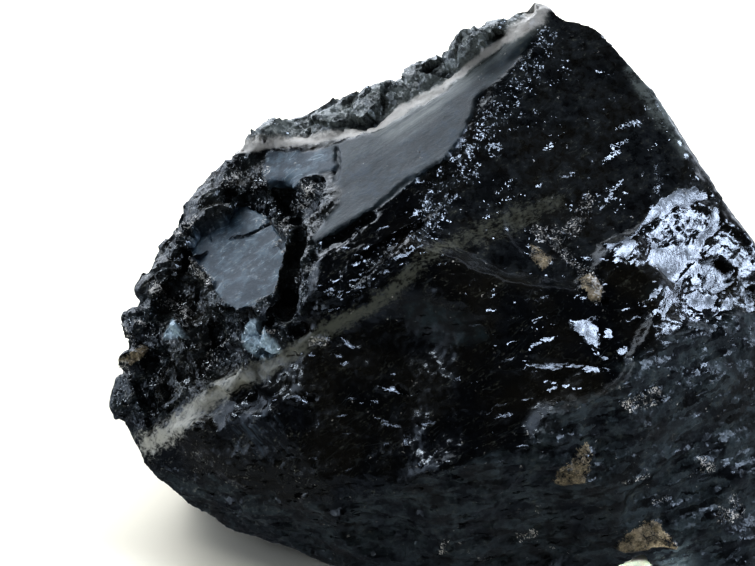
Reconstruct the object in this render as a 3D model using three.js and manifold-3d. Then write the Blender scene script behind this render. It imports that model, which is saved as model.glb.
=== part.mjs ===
// A hand specimen of raw morion, the almost opaque black variety of quartz: one broken lump of massive crystal.
// Quartz has no cleavage, so the lump is bounded by fracture faces. Some are plane, most are conchoidal, which
// leaves shallow bowls with curved ribs, and the left flank is etched into pits round one flat growth face.
// Millimetres, +Z up, +X to the right along the lump, -Y towards its broad front. The lump is built about a point
// low in its middle and is then moved so that the origin is the middle of its footprint, on the table.

import * as THREE from "three";
import { ConvexGeometry } from "three/addons/geometries/ConvexGeometry.js";
import { ImprovedNoise } from "three/addons/math/ImprovedNoise.js";
import { TessellateModifier } from "three/addons/modifiers/TessellateModifier.js";
import { mergeVertices } from "three/addons/utils/BufferGeometryUtils.js";
import Module from "manifold-3d";

const wasm = await Module();
wasm.setup();

// ---- what drives the shape --------------------------------------------------------------------------------

const BLOCK_EDGE = 12; // longest edge on the skin of the unbroken block
const SWELL = 1.6; // height of the swells on that skin
const BOWL_SPACING = 17; // between the conchoidal breaks on the broad front
const FLANK_CHIPS = 26; // small plane breaks on the left flank
const CREST_CHIPS = 18; // and along the crest
const LEVEL = 1.5; // height of the level break it stands on, above the block's lowest corners

// The ways that its main faces and edges look, and the lines that they follow.
const SATIN = [-0.4, -0.283, 0.871]; // the smooth face on the upper left
const UPPER = [0.08, -0.616, 0.784]; // the upper part of the broad front
const GLOSSY = [0.294, -0.588, 0.753]; // the glossy patch on the right of the front
const FLANK = [-0.52, -0.5, 0.69]; // the etched left flank
const CREST = [-0.42, 0.15, 0.9]; // the ragged strip along the crest
const ALONG_LEDGE = [26.7, 10.3, 15.6]; // up along the foot of the smooth face
const ALONG_CREST = [0.86, 0, 0.5]; // up along the crest
const SHOULDER = [-0.66, 0, 0.75]; // the edge above the left flank
const ALONG_SHOULDER = [0.62, 0.5, 0.6]; // up along that edge

// ---- helpers ----------------------------------------------------------------------------------------------

const noise = new ImprovedNoise();
const vector = (p) => new THREE.Vector3(...p);

// A repeatable random number from 0 to 1 for each call.
function dice(seed) {
  let state = seed * 2654435761;
  return () => {
    state = (Math.imul(state ^ (state >>> 15), 2246822519) + 374761393) | 0;
    return ((state ^ (state >>> 13)) >>> 0) / 4294967296;
  };
}

// Moves each vertex outwards or inwards along its direction from the geometry's centre by coherent noise.
function roughen(geometry, depth, grain, seed) {
  const centre = new THREE.Vector3();
  geometry.computeBoundingBox();
  geometry.boundingBox.getCenter(centre);
  const place = geometry.attributes.position;
  const p = new THREE.Vector3();
  const outwards = new THREE.Vector3();
  for (let i = 0; i < place.count; i += 1) {
    p.fromBufferAttribute(place, i);
    const coarse = noise.noise(p.x / grain + seed, p.y / grain, p.z / grain);
    const fine = noise.noise((2.3 * p.x) / grain, (2.3 * p.y) / grain + seed, (2.3 * p.z) / grain);
    outwards.copy(p).sub(centre).normalize();
    p.addScaledVector(outwards, depth * (coarse + 0.5 * fine));
    place.setXYZ(i, p.x, p.y, p.z);
  }
  return geometry;
}

// A closed geometry with its shared vertices merged, as a solid for joining and cutting.
function solid(geometry) {
  const bare = new THREE.BufferGeometry().setAttribute("position", geometry.attributes.position.clone());
  if (geometry.index) bare.setIndex(geometry.index.clone());
  const merged = mergeVertices(bare, 1e-3);
  return new wasm.Manifold(
    new wasm.Mesh({
      numProp: 3,
      vertProperties: new Float32Array(merged.attributes.position.array),
      triVerts: new Uint32Array(merged.index.array),
    }),
  );
}

// Turns a geometry's +Z to face a direction, with its +X as near as can be to `along`, and moves it to a place.
function aim(geometry, place, facing, along = [1, 0, 0]) {
  const z = vector(facing).normalize();
  const y = z.clone().cross(vector(along)).normalize();
  const x = y.clone().cross(z);
  return geometry.applyMatrix4(new THREE.Matrix4().makeBasis(x, y, z).setPosition(...place));
}

// A plane break: the slab beyond a point on the face.
function slab({ at, facing }) {
  return solid(aim(new THREE.BoxGeometry(300, 300, 80).translate(0, 0, 40), at, facing));
}

// A plane facet of limited size: the drum that is cleared above it.
function drum({ at, facing, along, size, sides = 14 }) {
  const body = new THREE.CylinderGeometry(0.6, 0.5, 10, sides).rotateX(Math.PI / 2).translate(0, 0, 5);
  return solid(aim(body.scale(size[0], size[1], 1), at, facing, along));
}

// A conchoidal break: a shallow bowl of a given length, breadth and depth, with curved ribs round the point of
// impact, which is on its margin at the angle `struck`. `at` is the middle of the bowl's mouth.
function bowl({ at, facing, along, size, rib = 0.1, struck = 0, steps = 3, sides = 11 }) {
  const [length, breadth, depth] = size;
  const radius = (0.25 * length * length + depth * depth) / (2 * depth);
  const reach = 0.65 * length;
  const profile = [];
  for (let i = 0; i <= steps; i += 1) {
    const out = (reach * i) / steps;
    profile.push(new THREE.Vector2(out, radius - depth - Math.sqrt(radius * radius - out * out)));
  }
  const roof = profile[steps].y + 10;
  profile.push(new THREE.Vector2(reach + 8, roof), new THREE.Vector2(0, roof));
  const body = new THREE.LatheGeometry(profile, sides).rotateX(Math.PI / 2).scale(1, breadth / length, 1);
  const place = body.attributes.position;
  for (let i = 0; i < place.count; i += 1) {
    const x = place.getX(i) - 0.5 * length * Math.cos(struck);
    const y = place.getY(i) - 0.5 * length * Math.sin(struck);
    place.setZ(i, place.getZ(i) + rib * Math.cos((18 * Math.hypot(x, y)) / length));
  }
  return solid(aim(body, at, facing, along));
}

// An angular chunk of a given length, breadth and height, for a ragged pit or a lump.
function chunk({ at, facing, along, size, seed = 1, detail = 1 }) {
  const body = roughen(new THREE.IcosahedronGeometry(0.5, detail), 0.22, 0.37, seed);
  return solid(aim(body.scale(...size), at, facing, along));
}

// A small plane break: a box sunk to a given depth at a place on the skin.
function chip({ at, facing, along, size, depth }) {
  const body = new THREE.BoxGeometry(size, 0.8 * size, 8).translate(0, 0, 4 - depth);
  return solid(aim(body, at, facing, along));
}

// A stub of a crystal: a tapering prism with a slanting tip.
function stub({ at, facing, along, length, width, sides = 5 }) {
  const body = new THREE.CylinderGeometry(0.14 * width, 0.5 * width, length, sides).rotateX(Math.PI / 2);
  return solid(aim(body.translate(0.1 * width, 0, 0.2 * length), at, facing, along));
}

// ---- the block: corners of the broken lump, before any face is split off ----------------------------------

const CORNERS = {
  crest: [[-23, 11, 67], [-6, 13, 73], [4, 13, 78], [13, 13, 82], [22, 13, 89], [31, 10, 93], [41, 8, 91]],
  rightSlope: [[51, -2, 82], [58, -11, 73], [61, -16, 67], [68, -20, 60], [78, -22, 47], [87, -24, 31]],
  rightEnd: [[93, -26, 16], [91, -36, 5], [94, -5, 12], [90, 5, 0], [88, -34, 0]],
  leftEdge: [[-37, 1, 55], [-44, -7, 47], [-49, -16, 37], [-50, -24, 25], [-44, -30, 14]],
  leftFoot: [[-27, -39, 5], [-6, -46, 1], [-36, -8, 2], [-30, 8, 0]],
  front: [[-12, -28, 59], [-26, -28.5, 47.5], [-14, -39, 43], [4, -37, 62], [-14, -50, 21], [9, -56, 30],
    [25, -58, 36], [39, -54, 44], [46, -41, 56], [58, -41, 50], [76, -35, 42]],
  foot: [[10, -50, 0], [26, -52, 0], [58, -50, 0], [71, -52, 0], [82, -48, 0]],
  back: [[-42, 8, 24], [-34, 24, 44], [-24, 34, 8], [-6, 42, 34], [20, 40, 60], [30, 48, 22], [48, 34, 58],
    [66, 34, 34], [80, 18, 20], [56, 42, 0], [10, 46, 0], [74, 8, 46]],
};
const block = roughen(
  new TessellateModifier(BLOCK_EDGE, 12).modify(
    new ConvexGeometry(Object.values(CORNERS).flat().map(vector)),
  ),
  SWELL,
  17,
  3,
);

// ---- plane breaks -----------------------------------------------------------------------------------------

const planes = [
  slab({ at: [-12.4, -27.7, 58], facing: SATIN }),
  slab({ at: [39.7, -40.2, 56], facing: UPPER }),
];
// The smooth face ends in a ledge: a narrow strip along its foot is one step lower.
const ledge = [
  solid(aim(new THREE.BoxGeometry(35, 8, 8).translate(0, -3.8, 3), [0, -22.8, 64.9], SATIN, ALONG_LEDGE)),
  chunk({ at: [-7, -25.4, 60.4], facing: SATIN, along: ALONG_LEDGE, size: [15, 4, 4], seed: 4 }),
  chunk({ at: [9, -19, 69.5], facing: SATIN, along: ALONG_LEDGE, size: [13, 3, 3], seed: 9 }),
];

// ---- the etched left flank --------------------------------------------------------------------------------

const growthFace = drum({ at: [-27, -18.5, 51.8], facing: [-0.42, -0.32, 0.85], size: [19, 25] });
const hollows = [
  chunk({ at: [-23, -7, 58.5], facing: SATIN, size: [17, 12, 10], seed: 2 }),
  chunk({ at: [-15, -12.5, 60.5], facing: SATIN, size: [10, 9, 7], seed: 8 }),
  chunk({ at: [-38.5, -18, 45.5], facing: FLANK, size: [15, 19, 14], seed: 5 }),
  chunk({ at: [-37, -7, 50.5], facing: FLANK, size: [11, 10, 7], seed: 12 }),
  chunk({ at: [-32, -27, 43], facing: FLANK, size: [14, 9, 10], seed: 14 }),
  chunk({ at: [-15.5, -23, 57.5], facing: FLANK, along: [0, -0.8, -0.5], size: [13, 5, 9], seed: 3 }),
  chunk({ at: [-17, -30, 52], facing: FLANK, along: [0, -0.7, -0.7], size: [14, 6, 9], seed: 6 }),
  chunk({ at: [-30, -31, 38], facing: [-0.48, -0.71, 0.5], size: [14, 10, 8], seed: 7 }),
  chunk({ at: [-21.5, -34.5, 42], facing: [-0.57, -0.65, 0.49], size: [10, 12, 8], seed: 10 }),
  chunk({ at: [-43.5, -24, 33], facing: [-0.6, -0.66, 0.48], size: [9, 11, 5], seed: 11 }),
];
// Crystals stand in the hollows, ragged knobs on the left edge and one splinter on the peak.
const crystals = [
  stub({ at: [-37.5, -22, 39.5], facing: [-0.5, -0.45, 0.75], length: 5, width: 6.5, sides: 4 }),
  stub({ at: [-20, -33, 44], facing: [-0.3, -0.5, 0.8], length: 6, width: 6 }),
  stub({ at: [-24, -32, 41], facing: [-0.7, -0.4, 0.6], length: 5, width: 5 }),
  stub({ at: [-17.5, -34, 43], facing: [-0.1, -0.7, 0.7], length: 5, width: 4.5 }),
  chunk({ at: [-46.3, -14.5, 38], facing: [-0.9, -0.3, 0.35], size: [8, 7, 7], seed: 21 }),
  chunk({ at: [-44.6, -9, 43], facing: [-0.85, 0.1, 0.5], size: [6, 5, 5], seed: 22 }),
  chunk({ at: [-46.5, -21, 33], facing: [-0.9, -0.4, 0.1], size: [7, 6, 5], seed: 23 }),
  stub({ at: [31.6, 11.5, 90.8], facing: [0.2, -0.1, 1], length: 4.5, width: 7, sides: 4 }),
];

// ---- conchoidal breaks ------------------------------------------------------------------------------------

const skin = new THREE.Mesh(block, new THREE.MeshBasicMaterial({ side: THREE.DoubleSide }));
const roll = dice(7);
const spread = (range) => range * (roll() - 0.5);

// The place and the way the skin faces on the broad front, at a distance across it and up it from its middle.
const INTO_FRONT = new THREE.Vector3(0, 0.906, -0.423);
const UP_FRONT = new THREE.Vector3(0, 0.423, 0.906);
function onFront(across, up) {
  const from = new THREE.Vector3(across, 0, 40).addScaledVector(UP_FRONT, up).addScaledVector(INTO_FRONT, -150);
  const [hit] = new THREE.Raycaster(from, INTO_FRONT).intersectObject(skin);
  return hit && { at: hit.point.toArray(), facing: hit.face.normal.toArray() };
}

// The broad front is broken by many small blows: overlapping bowls on a loose grid, each tilted its own way.
const frontBowls = [];
for (let across = -46; across < 92; across += BOWL_SPACING) {
  for (let up = -46; up < 46; up += 0.8 * BOWL_SPACING) {
    const place = onFront(across + spread(9), up + spread(7));
    const onLeftFaces = up > 1.29 * across - 1 && up > -20;
    if (!place || onLeftFaces || place.facing[1] > -0.2) continue;
    const facing = place.facing.map((part) => part + spread(0.36));
    const length = 19 + 15 * roll();
    const size = [length, length * (0.6 + 0.4 * roll()), 0.5 + 0.8 * roll()];
    frontBowls.push(bowl({ at: place.at, facing, along: [1, 0, spread(2)], size, struck: 6.28 * roll() }));
  }
}

// The etched flank is chipped all over, except on its growth face.
const flankChips = [];
while (flankChips.length < FLANK_CHIPS) {
  const across = -49 + 36 * roll();
  const up = -27 + 48 * roll();
  const place = onFront(across, up);
  if (!place || Math.hypot(across + 27, up - 5) < 12) continue;
  const facing = place.facing.map((part) => part + spread(0.7));
  const along = [spread(1), 0, spread(1)];
  flankChips.push(chip({ at: place.at, facing, along, size: 4 + 5 * roll(), depth: 0.5 + 1.6 * roll() }));
}
const glossyPatch = drum({ at: [56.5, -30.5, 58.6], facing: GLOSSY, size: [17, 20], sides: 9 });

// A ragged strip dips behind the smooth face, along the crest.
const strip = bowl({ at: [5, 10, 77.2], facing: CREST, along: ALONG_CREST, size: [56, 17, 1.3] });
const crestLump = (at, size, seed) => chunk({ at, facing: CREST, along: ALONG_CREST, size, seed });
const crestLumps = [
  crestLump([-21, 10.5, 65.4], [14, 9, 5.5], 31),
  crestLump([-13, 11, 69.9], [19, 9, 4.8], 38),
  crestLump([-0.5, 10, 75.8], [15, 8, 4.6], 33),
  crestLump([6, 10.5, 78.2], [15, 9, 5], 37),
  crestLump([13, 11, 80.8], [14, 9, 5], 34),
  crestLump([20.5, 11, 86.2], [16, 9, 7.5], 35),
  crestLump([26.5, 10.5, 89.1], [13, 9, 7], 36),
];
const crestChips = [];
for (let i = 0; i < CREST_CHIPS; i += 1) {
  const way = (i + roll()) / CREST_CHIPS;
  const at = [-18 + 46 * way, 8.5 + spread(9), 66.6 + 22.5 * way];
  const facing = [-0.42 + spread(0.7), 0.1 + spread(1), 0.9];
  const along = [spread(1), spread(1), 0];
  crestChips.push(chip({ at, facing, along, size: 5 + 5 * roll(), depth: 0.6 + 1.7 * roll() }));
}

// Ragged crystals go on along the edge above the left flank.
const shoulderLump = (at, size, seed) => chunk({ at, facing: SHOULDER, along: ALONG_SHOULDER, size, seed });
const shoulderLumps = [
  shoulderLump([-26.5, 8.5, 61.8], [17, 9, 6], 41),
  shoulderLump([-32.6, 3.2, 57], [17, 9, 6.5], 42),
  shoulderLump([-38.2, -3.5, 50.4], [16, 9, 5], 43),
  shoulderLump([-42.4, -8.5, 44.6], [12, 8, 5], 44),
];

// The back and the right end: broad bowls left by the blows that freed the lump.
const MIDDLE = new THREE.Vector3(20, -5, 35);
function blow(direction, size, struck) {
  const [hit] = new THREE.Raycaster(MIDDLE, vector(direction).normalize()).intersectObject(skin);
  return bowl({ at: hit.point.toArray(), facing: direction, size, rib: 0.3, struck });
}
const backBowls = [
  blow([0.1, 1, 0.3], [58, 50, 6], 1),
  blow([-0.75, 0.8, 0.4], [46, 40, 5], 2.5),
  blow([0.7, 0.7, 0.3], [48, 40, 5], 4),
  blow([1, 0.15, 0.2], [44, 36, 4.5], 1.8),
  blow([0.2, 0.75, 0.75], [34, 28, 4], 3.2),
  blow([-0.2, 0.95, -0.25], [40, 36, 4], 5),
  blow([-1, 0.35, -0.1], [30, 28, 3], 0.4),
  blow([0.8, 0.75, -0.25], [36, 30, 4], 2),
];

// ---- the level break it stands on, with a low arch under its front ----------------------------------------

const underside = solid(new THREE.BoxGeometry(300, 300, 100).translate(0, 0, LEVEL - 50));
const arch = chunk({ at: [48, -50, LEVEL], facing: [0, 0, 1], size: [14, 34, 17], seed: 4 });

// ---- the part ---------------------------------------------------------------------------------------------

const faced = solid(block).subtract(wasm.Manifold.union(planes));
const cut = faced.subtract(wasm.Manifold.union([...ledge, growthFace, ...hollows, ...flankChips, strip]));
const grown = wasm.Manifold.union([cut, ...crestLumps, ...shoulderLumps, ...crystals]);
const blows = [...crestChips, ...frontBowls, glossyPatch, ...backBowls];
const broken = grown.subtract(wasm.Manifold.union([...blows, arch, underside]));
const [lump] = broken.decompose().sort((one, other) => other.volume() - one.volume());

const made = lump.getMesh();
const geometry = new THREE.BufferGeometry();
geometry.setAttribute("position", new THREE.BufferAttribute(new Float32Array(made.vertProperties), 3));
geometry.setIndex(new THREE.BufferAttribute(new Uint32Array(made.triVerts), 1));
geometry.computeBoundingBox();
const { min, max } = geometry.boundingBox;

const morion = new THREE.MeshStandardMaterial({ color: 0x0d0e11, roughness: 0.18, metalness: 0 });
const quartz = new THREE.Mesh(geometry, morion);
quartz.name = "morion_quartz";
quartz.position.set(-(min.x + max.x) / 2, -(min.y + max.y) / 2, -min.z);

const group = new THREE.Group();
group.add(quartz);
export default group;
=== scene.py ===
import math

import bpy
import numpy as np
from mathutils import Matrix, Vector, noise


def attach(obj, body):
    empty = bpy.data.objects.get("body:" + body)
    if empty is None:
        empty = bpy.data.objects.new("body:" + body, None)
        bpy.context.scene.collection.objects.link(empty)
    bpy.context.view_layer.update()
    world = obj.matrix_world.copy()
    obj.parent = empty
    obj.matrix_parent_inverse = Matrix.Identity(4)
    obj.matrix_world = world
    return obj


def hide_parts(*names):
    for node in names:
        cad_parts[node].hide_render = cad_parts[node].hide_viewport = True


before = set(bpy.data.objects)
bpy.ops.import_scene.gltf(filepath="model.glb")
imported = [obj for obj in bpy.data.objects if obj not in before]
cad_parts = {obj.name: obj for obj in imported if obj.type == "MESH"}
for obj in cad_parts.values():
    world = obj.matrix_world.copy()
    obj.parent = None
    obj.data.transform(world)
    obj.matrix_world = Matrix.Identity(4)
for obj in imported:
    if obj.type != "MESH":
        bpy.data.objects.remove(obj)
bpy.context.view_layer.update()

# ---- the camera ------------------------------------------------------------------------------------------
# It stands in front of the lump and looks down on it, and the lump runs off the right and lower edges of its
# view. What it aims at is also the middle of the broad front, from which places on that front are measured.

MM = 0.001
AIM = Vector((-21.9, 4.8, 38.1)) * MM
LOOK_DOWN = math.radians(25)
CAMERA_AWAY = 400 * MM
VIEW_WIDTH = 151 * MM  # what it sees from side to side at the place it aims at
SENSOR = 36.0

out_of_front = Vector((0, -math.cos(LOOK_DOWN), math.sin(LOOK_DOWN)))
bpy.ops.object.select_all(action="DESELECT")
bpy.ops.object.camera_add(
    location=AIM + out_of_front * CAMERA_AWAY,
    rotation=(math.pi / 2 - LOOK_DOWN, 0, 0),
)
camera = bpy.context.object
camera.name = "camera"
camera.data.sensor_width = SENSOR
camera.data.lens = SENSOR * CAMERA_AWAY / VIEW_WIDTH
camera.data.clip_start = 0.01
bpy.context.scene.camera = camera

# ---- the lump --------------------------------------------------------------------------------------------
# One broken lump of morion, the almost opaque black quartz. It has no cleavage: its faces are conchoidal
# breaks, with plane ones on the upper left, and its left flank is etched into pits round a flat growth face.

SKIN_GRAIN = 0.57  # edge of the fine skin that carries the relief, in mm
EASING = 8  # passes that ease the skin's corners, on a skin of EASED_GRAIN
EASED_GRAIN = 0.5
BACK_FROM = -14  # mm: what lies farther out than this from the middle of the front counts as back
BACK_SHARE = 0.3  # of the skin's triangles that the back, the ends and the base keep
CREST_FROM, CREST_TO = -36, 33  # where the crest runs, in mm across the front
HULL_WIDTH, HULL_STEP = 7, 3  # how much of the crest one hull joins, and how far on the next one starts
HULL_DEPTH, PEAK_DEPTH = 8, 12  # how far down a hull reaches, along the crest and round the peak
PEAK_FROM = 15  # mm to the right of the middle, where the peak starts

bpy.ops.object.select_all(action="DESELECT")
lump = bpy.data.objects.new("morion_lump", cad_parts["morion_quartz"].data.copy())
bpy.context.scene.collection.objects.link(lump)
bpy.context.view_layer.objects.active = lump
lump.select_set(True)
bpy.ops.object.mode_set(mode="EDIT")
bpy.ops.mesh.select_all(action="SELECT")
bpy.ops.mesh.remove_doubles(threshold=0.001 * MM)
bpy.ops.object.mode_set(mode="OBJECT")

up_front = Vector((0, math.sin(LOOK_DOWN), math.cos(LOOK_DOWN)))


def on_the_front(points):
    """Where points in mm show to the camera: across and up from the middle, and how far out towards it."""
    from_aim = points - np.array(AIM) / MM
    out = from_aim @ np.array(out_of_front)
    nearness = 1 / (1 - out * MM / CAMERA_AWAY)
    return np.column_stack((from_aim[:, 0], from_aim @ np.array(up_front))) * nearness[:, None], out


# The crystals of the crest stand shoulder to shoulder: a row of hulls joins those that are near each other.
corners = on_the_front(np.array([corner.co for corner in lump.data.vertices]) / MM)[0]
for start in range(CREST_FROM, CREST_TO, HULL_STEP):
    joined = (corners[:, 0] > start) & (corners[:, 0] < start + HULL_WIDTH)
    depth = PEAK_DEPTH if start > PEAK_FROM else HULL_DEPTH
    joined &= corners[:, 1] > corners[joined, 1].max() - depth
    bpy.ops.object.mode_set(mode="EDIT")
    bpy.ops.mesh.select_all(action="DESELECT")
    bpy.ops.object.mode_set(mode="OBJECT")
    for i in np.flatnonzero(joined).tolist():
        lump.data.vertices[i].select = True
    bpy.ops.object.mode_set(mode="EDIT")
    bpy.ops.mesh.duplicate()
    bpy.ops.mesh.convex_hull(use_existing_faces=False)
    bpy.ops.object.mode_set(mode="OBJECT")

skin = lump.modifiers.new("fine skin", "REMESH")
skin.mode = "VOXEL"
skin.voxel_size = SKIN_GRAIN * MM
bpy.ops.object.modifier_apply(modifier=skin.name)
ease = lump.modifiers.new("worn edges", "SMOOTH")
ease.factor = 0.5
ease.iterations = round(EASING * (EASED_GRAIN / SKIN_GRAIN) ** 2)
bpy.ops.object.modifier_apply(modifier=ease.name)

# The skin is coarser at the back and where it faces away.
for face in lump.data.polygons:
    behind = (face.center - AIM).dot(out_of_front) < BACK_FROM * MM
    face.select = behind or face.normal.dot(out_of_front) < -0.25
bpy.ops.object.mode_set(mode="EDIT")
bpy.ops.mesh.quads_convert_to_tris()
bpy.ops.mesh.decimate(ratio=BACK_SHARE)
bpy.ops.object.mode_set(mode="OBJECT")

# Relief is worked out on all the vertices at once, in millimetres. The seed fixes how each splinter tilts.
noise.seed_set(2)
count = len(lump.data.vertices)
whole = np.empty(3 * count, np.float32)
lump.data.vertices.foreach_get("co", whole)
whole = whole.reshape(-1, 3).astype(float) / MM
facing = np.empty(3 * count, np.float32)
lump.data.vertices.foreach_get("normal", facing)
facing = facing.reshape(-1, 3).astype(float)

front, out = on_the_front(whole)
towards_camera = facing @ np.array(out_of_front)
# The skin that shows from the front, its rounded edges too, and the skin that faces it more squarely.
on_front = np.clip((out + 20) / 8, 0, 1) * np.clip(3 * towards_camera + 1.3, 0, 1)
faces_front = np.clip((out + 12) / 8, 0, 1) * np.clip(3 * towards_camera + 0.6, 0, 1)


def ramp(value, low, high):
    """From 0 at low to 1 at high, eased at both ends."""
    t = np.clip((value - low) / (high - low), 0, 1)
    return t * t * (3 - 2 * t)


def swell(grain, seed):
    """Smooth noise from -1 to 1 with swells about one grain across, in mm, or one grain for each axis."""
    return np.array([noise.noise(p) for p in (whole / grain + seed).tolist()])


def splinters(grain, seed, where):
    """Height in mm of plane breaks about one grain across, each tilted its own way, inside a mask."""
    height = np.zeros(len(whole))
    for i in np.flatnonzero(where > 0.01).tolist():
        p = Vector(whole[i] / grain + seed)
        middle = noise.voronoi(p)[1][0]
        height[i] = (p - middle).dot(noise.noise_vector(middle * 7.3))
    return height * where * np.min(grain)


def bowls(grain, seed, where):
    """Height in mm of shallow bowls that meet in sharp ridges, inside a mask."""
    height = np.zeros(len(whole))
    for i in np.flatnonzero(where > 0.01).tolist():
        bent = Vector(whole[i] / grain + seed)
        bent += 0.35 * noise.noise_vector(bent * 1.3)
        height[i] = noise.voronoi(bent)[0][0] ** 2
    return height * where


# Outlines on the front are as ragged as a break is.
wavy_front = front + 0.4 * np.column_stack((swell(2.0, 31.0), swell(2.0, 47.0)))
seen = np.flatnonzero(on_front > 0)
seen_front = wavy_front[seen]


def line_mask(line, soft=0.6):
    """1 on a line of points with half widths on the front, easing to 0 over `soft` of that width."""
    share = np.zeros(len(seen))
    for a, b in zip(np.array(line[:-1], float), np.array(line[1:], float)):
        run = b[:2] - a[:2]
        along = np.clip(((seen_front - a[:2]) @ run) / (run @ run), 0, 1)
        off = np.hypot(*(seen_front - a[:2] - along[:, None] * run).T)
        half_width = a[2] + along * (b[2] - a[2])
        share = np.maximum(share, ramp(-off / half_width, -1 - soft, -1 + 0.5 * soft))
    mask = np.zeros(len(front))
    mask[seen] = share
    return mask * on_front


def patch_mask(outline, soft=1.0):
    """1 inside an outline on the front, easing to 0 over `soft` mm round its edge."""
    corners = np.array(outline, float)
    inside = np.zeros(len(seen), bool)
    nearest = np.full(len(seen), 1e9)
    for a, b in zip(corners, np.roll(corners, -1, 0)):
        along = np.clip(((seen_front - a) @ (b - a)) / ((b - a) @ (b - a)), 0, 1)
        nearest = np.minimum(nearest, np.hypot(*(seen_front - a - along[:, None] * (b - a)).T))
        crosses = (a[1] > seen_front[:, 1]) != (b[1] > seen_front[:, 1])
        reach = a[0] + (seen_front[:, 1] - a[1]) * (b[0] - a[0]) / (b[1] - a[1] or 1e-9)
        inside ^= crosses & (seen_front[:, 0] < reach)
    mask = np.zeros(len(front))
    mask[seen] = ramp(np.where(inside, nearest, -nearest), -soft / 2, soft / 2)
    return mask * on_front


# Where each finish lies on the front: mm across and up from its middle, and for a line its half width too.
WHITE_VEIN = [
    (-28.5, 26.9, 0.7), (-25.1, 27.6, 0.9), (-19.1, 28.2, 0.9), (-15.1, 28.4, 0.9), (-10.5, 29.6, 0.8),
    (-5.5, 30.4, 0.7), (-0.5, 31.1, 0.6), (2.5, 33.1, 0.8), (5.5, 35.1, 0.8), (9.9, 37.4, 0.8),
    (12.9, 39.1, 0.7), (16.5, 42.1, 0.6), (20.5, 45.1, 0.5), (24.9, 48.6, 0.9), (28.5, 51.1, 1.5),
    (31.5, 54.1, 2.2), (33.5, 56.1, 1.6),
]
VEIN_HAZE = [
    (-0.5, 30.6, 1), (2.5, 31.8, 2.6), (6.5, 34.2, 2.6), (10.5, 36.6, 2.2), (13.5, 38.6, 1.8),
    (17.5, 42.2, 1.8), (21.5, 45.4, 1.6), (25.5, 48.6, 1.8), (31.5, 53, 2),
]
PALE_VEIN = [
    (-45.5, -31.8, 1.4), (-39.1, -27.8, 1.3), (-33.1, -23.4, 1.3), (-27.5, -19.8, 1.2),
    (-22.5, -17.6, 1.1), (-18.5, -15.2, 1), (-13.1, -10.8, 1), (-7.5, -7.8, 0.9), (-1.5, -5, 0.8),
    (4.5, 0, 1), (12.5, 8, 1), (20.5, 11.6, 1.4), (28.5, 14.2, 1.6), (36.1, 17.6, 1),
]
SATIN_FACE = [
    (-12.1, 26.6), (-5.5, 29), (0.1, 30.2), (3.5, 32.4), (10.5, 36.4), (13.9, 38.4), (17.5, 41.2),
    (21.5, 44.4), (25.5, 47.4), (30.1, 50.4), (31.3, 49), (27.5, 44.2), (23.5, 40.2), (19.9, 37.6),
    (18.9, 33.6), (16.5, 28.6), (12.5, 23.6), (8.5, 21.2), (4.5, 17.8), (-0.5, 14.8), (-6.5, 10.4),
    (-12.5, 8), (-13.1, 9), (-10.1, 13), (-7.5, 16), (-6.9, 18.6), (-9.3, 20.4), (-8.3, 22.6),
    (-9.5, 25),
]
LOWER_STEP = [
    (-12, 6), (-5.5, 9.4), (0.5, 13.8), (7, 19.5), (10, 19), (9, 13), (3, 7), (-3, 1), (-8, -4), (-13, -3),
]
BLACK_FIELD = [
    (-40, -29), (-34, -22), (-28, -15), (-14, -9.5), (-4, -8), (4, -3), (24, -8), (40, -18), (30, -30),
    (8, -38), (-10, -42), (-30, -40),
]
CRACK = [(-8.3, 27.2, 0.3), (-7.9, 24, 0.4), (-8.3, 21, 0.5)]
GROOVE = [(-13.1, 7.6, 0.3), (-6.5, 10, 0.35), (-0.5, 14.8, 0.4), (6.5, 20.8, 0.35), (10.9, 22.4, 0.25)]
BLUE_PATCH = [
    (-21.9, 26.2), (-9.5, 26.6), (-8.3, 23), (-11.1, 22.2), (-15.1, 20.6), (-16.9, 18.6), (-21.5, 19),
    (-23.1, 22.2),
]
ROUND_FACE = [
    (-37.5, 9.6), (-35.5, 12.2), (-32.1, 13.4), (-27.5, 15.2), (-25.5, 14.8), (-23.5, 13.2),
    (-21.1, 11.6), (-18.7, 9.6), (-19.1, 5.6), (-20.5, 0.6), (-21.1, -1.8), (-23.5, -3.4), (-25.5, -4.8),
    (-28.5, -5.6), (-30.5, -3.8), (-32.5, -1.4), (-33.5, 1.2), (-35.5, 3.6), (-37.1, 5.6), (-37.7, 8.2),
]
DULL_PATCH = [
    (4.9, -3.4), (9.5, -3.4), (13.5, -5.4), (18.5, -5.8), (21.9, -10.4), (18.5, -11.8), (12.5, -12),
    (7.5, -10.4), (4.9, -7.8),
]
GLASSY_CRYSTALS = [
    [(-42.9, -10.8), (-41.1, -7.2), (-37.9, -10.8)],
    [
        (-26.9, -11), (-25.5, -7.4), (-23.9, -7), (-23.1, -9.4), (-20.5, -11.4), (-18.5, -13.8),
        (-19.5, -15.4), (-21.9, -15.8), (-24.5, -14.8), (-26.5, -13),
    ],
]
TAN_CRYSTALS = [
    [
        (41.9, -32), (43.1, -33.8), (42.5, -37.4), (41.1, -40), (37.5, -40.6), (35.1, -39.8),
        (36.1, -37.4), (38.5, -35.8), (40.1, -33.4),
    ],
    [
        (46.9, -53), (49.5, -50.4), (52.5, -49), (54.5, -47.4), (56.5, -48.2), (58.1, -50.4),
        (59.9, -52.6), (59.7, -53.4), (55.5, -52.8), (52.5, -53.6), (49.5, -53.8),
    ],
    [(40.5, 2.2), (42.9, 2.6), (44.9, -0.2), (44.9, -4.2), (42.9, -3.4), (41.3, -1)],
    [(30.7, 9.4), (35.5, 6.2), (33.1, 3.6), (31.1, 6.6)],
    [(-51.1, -15.4), (-47.1, -12.4), (-45.5, -12.8), (-46.9, -15), (-49.9, -16.6)],
]
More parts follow.
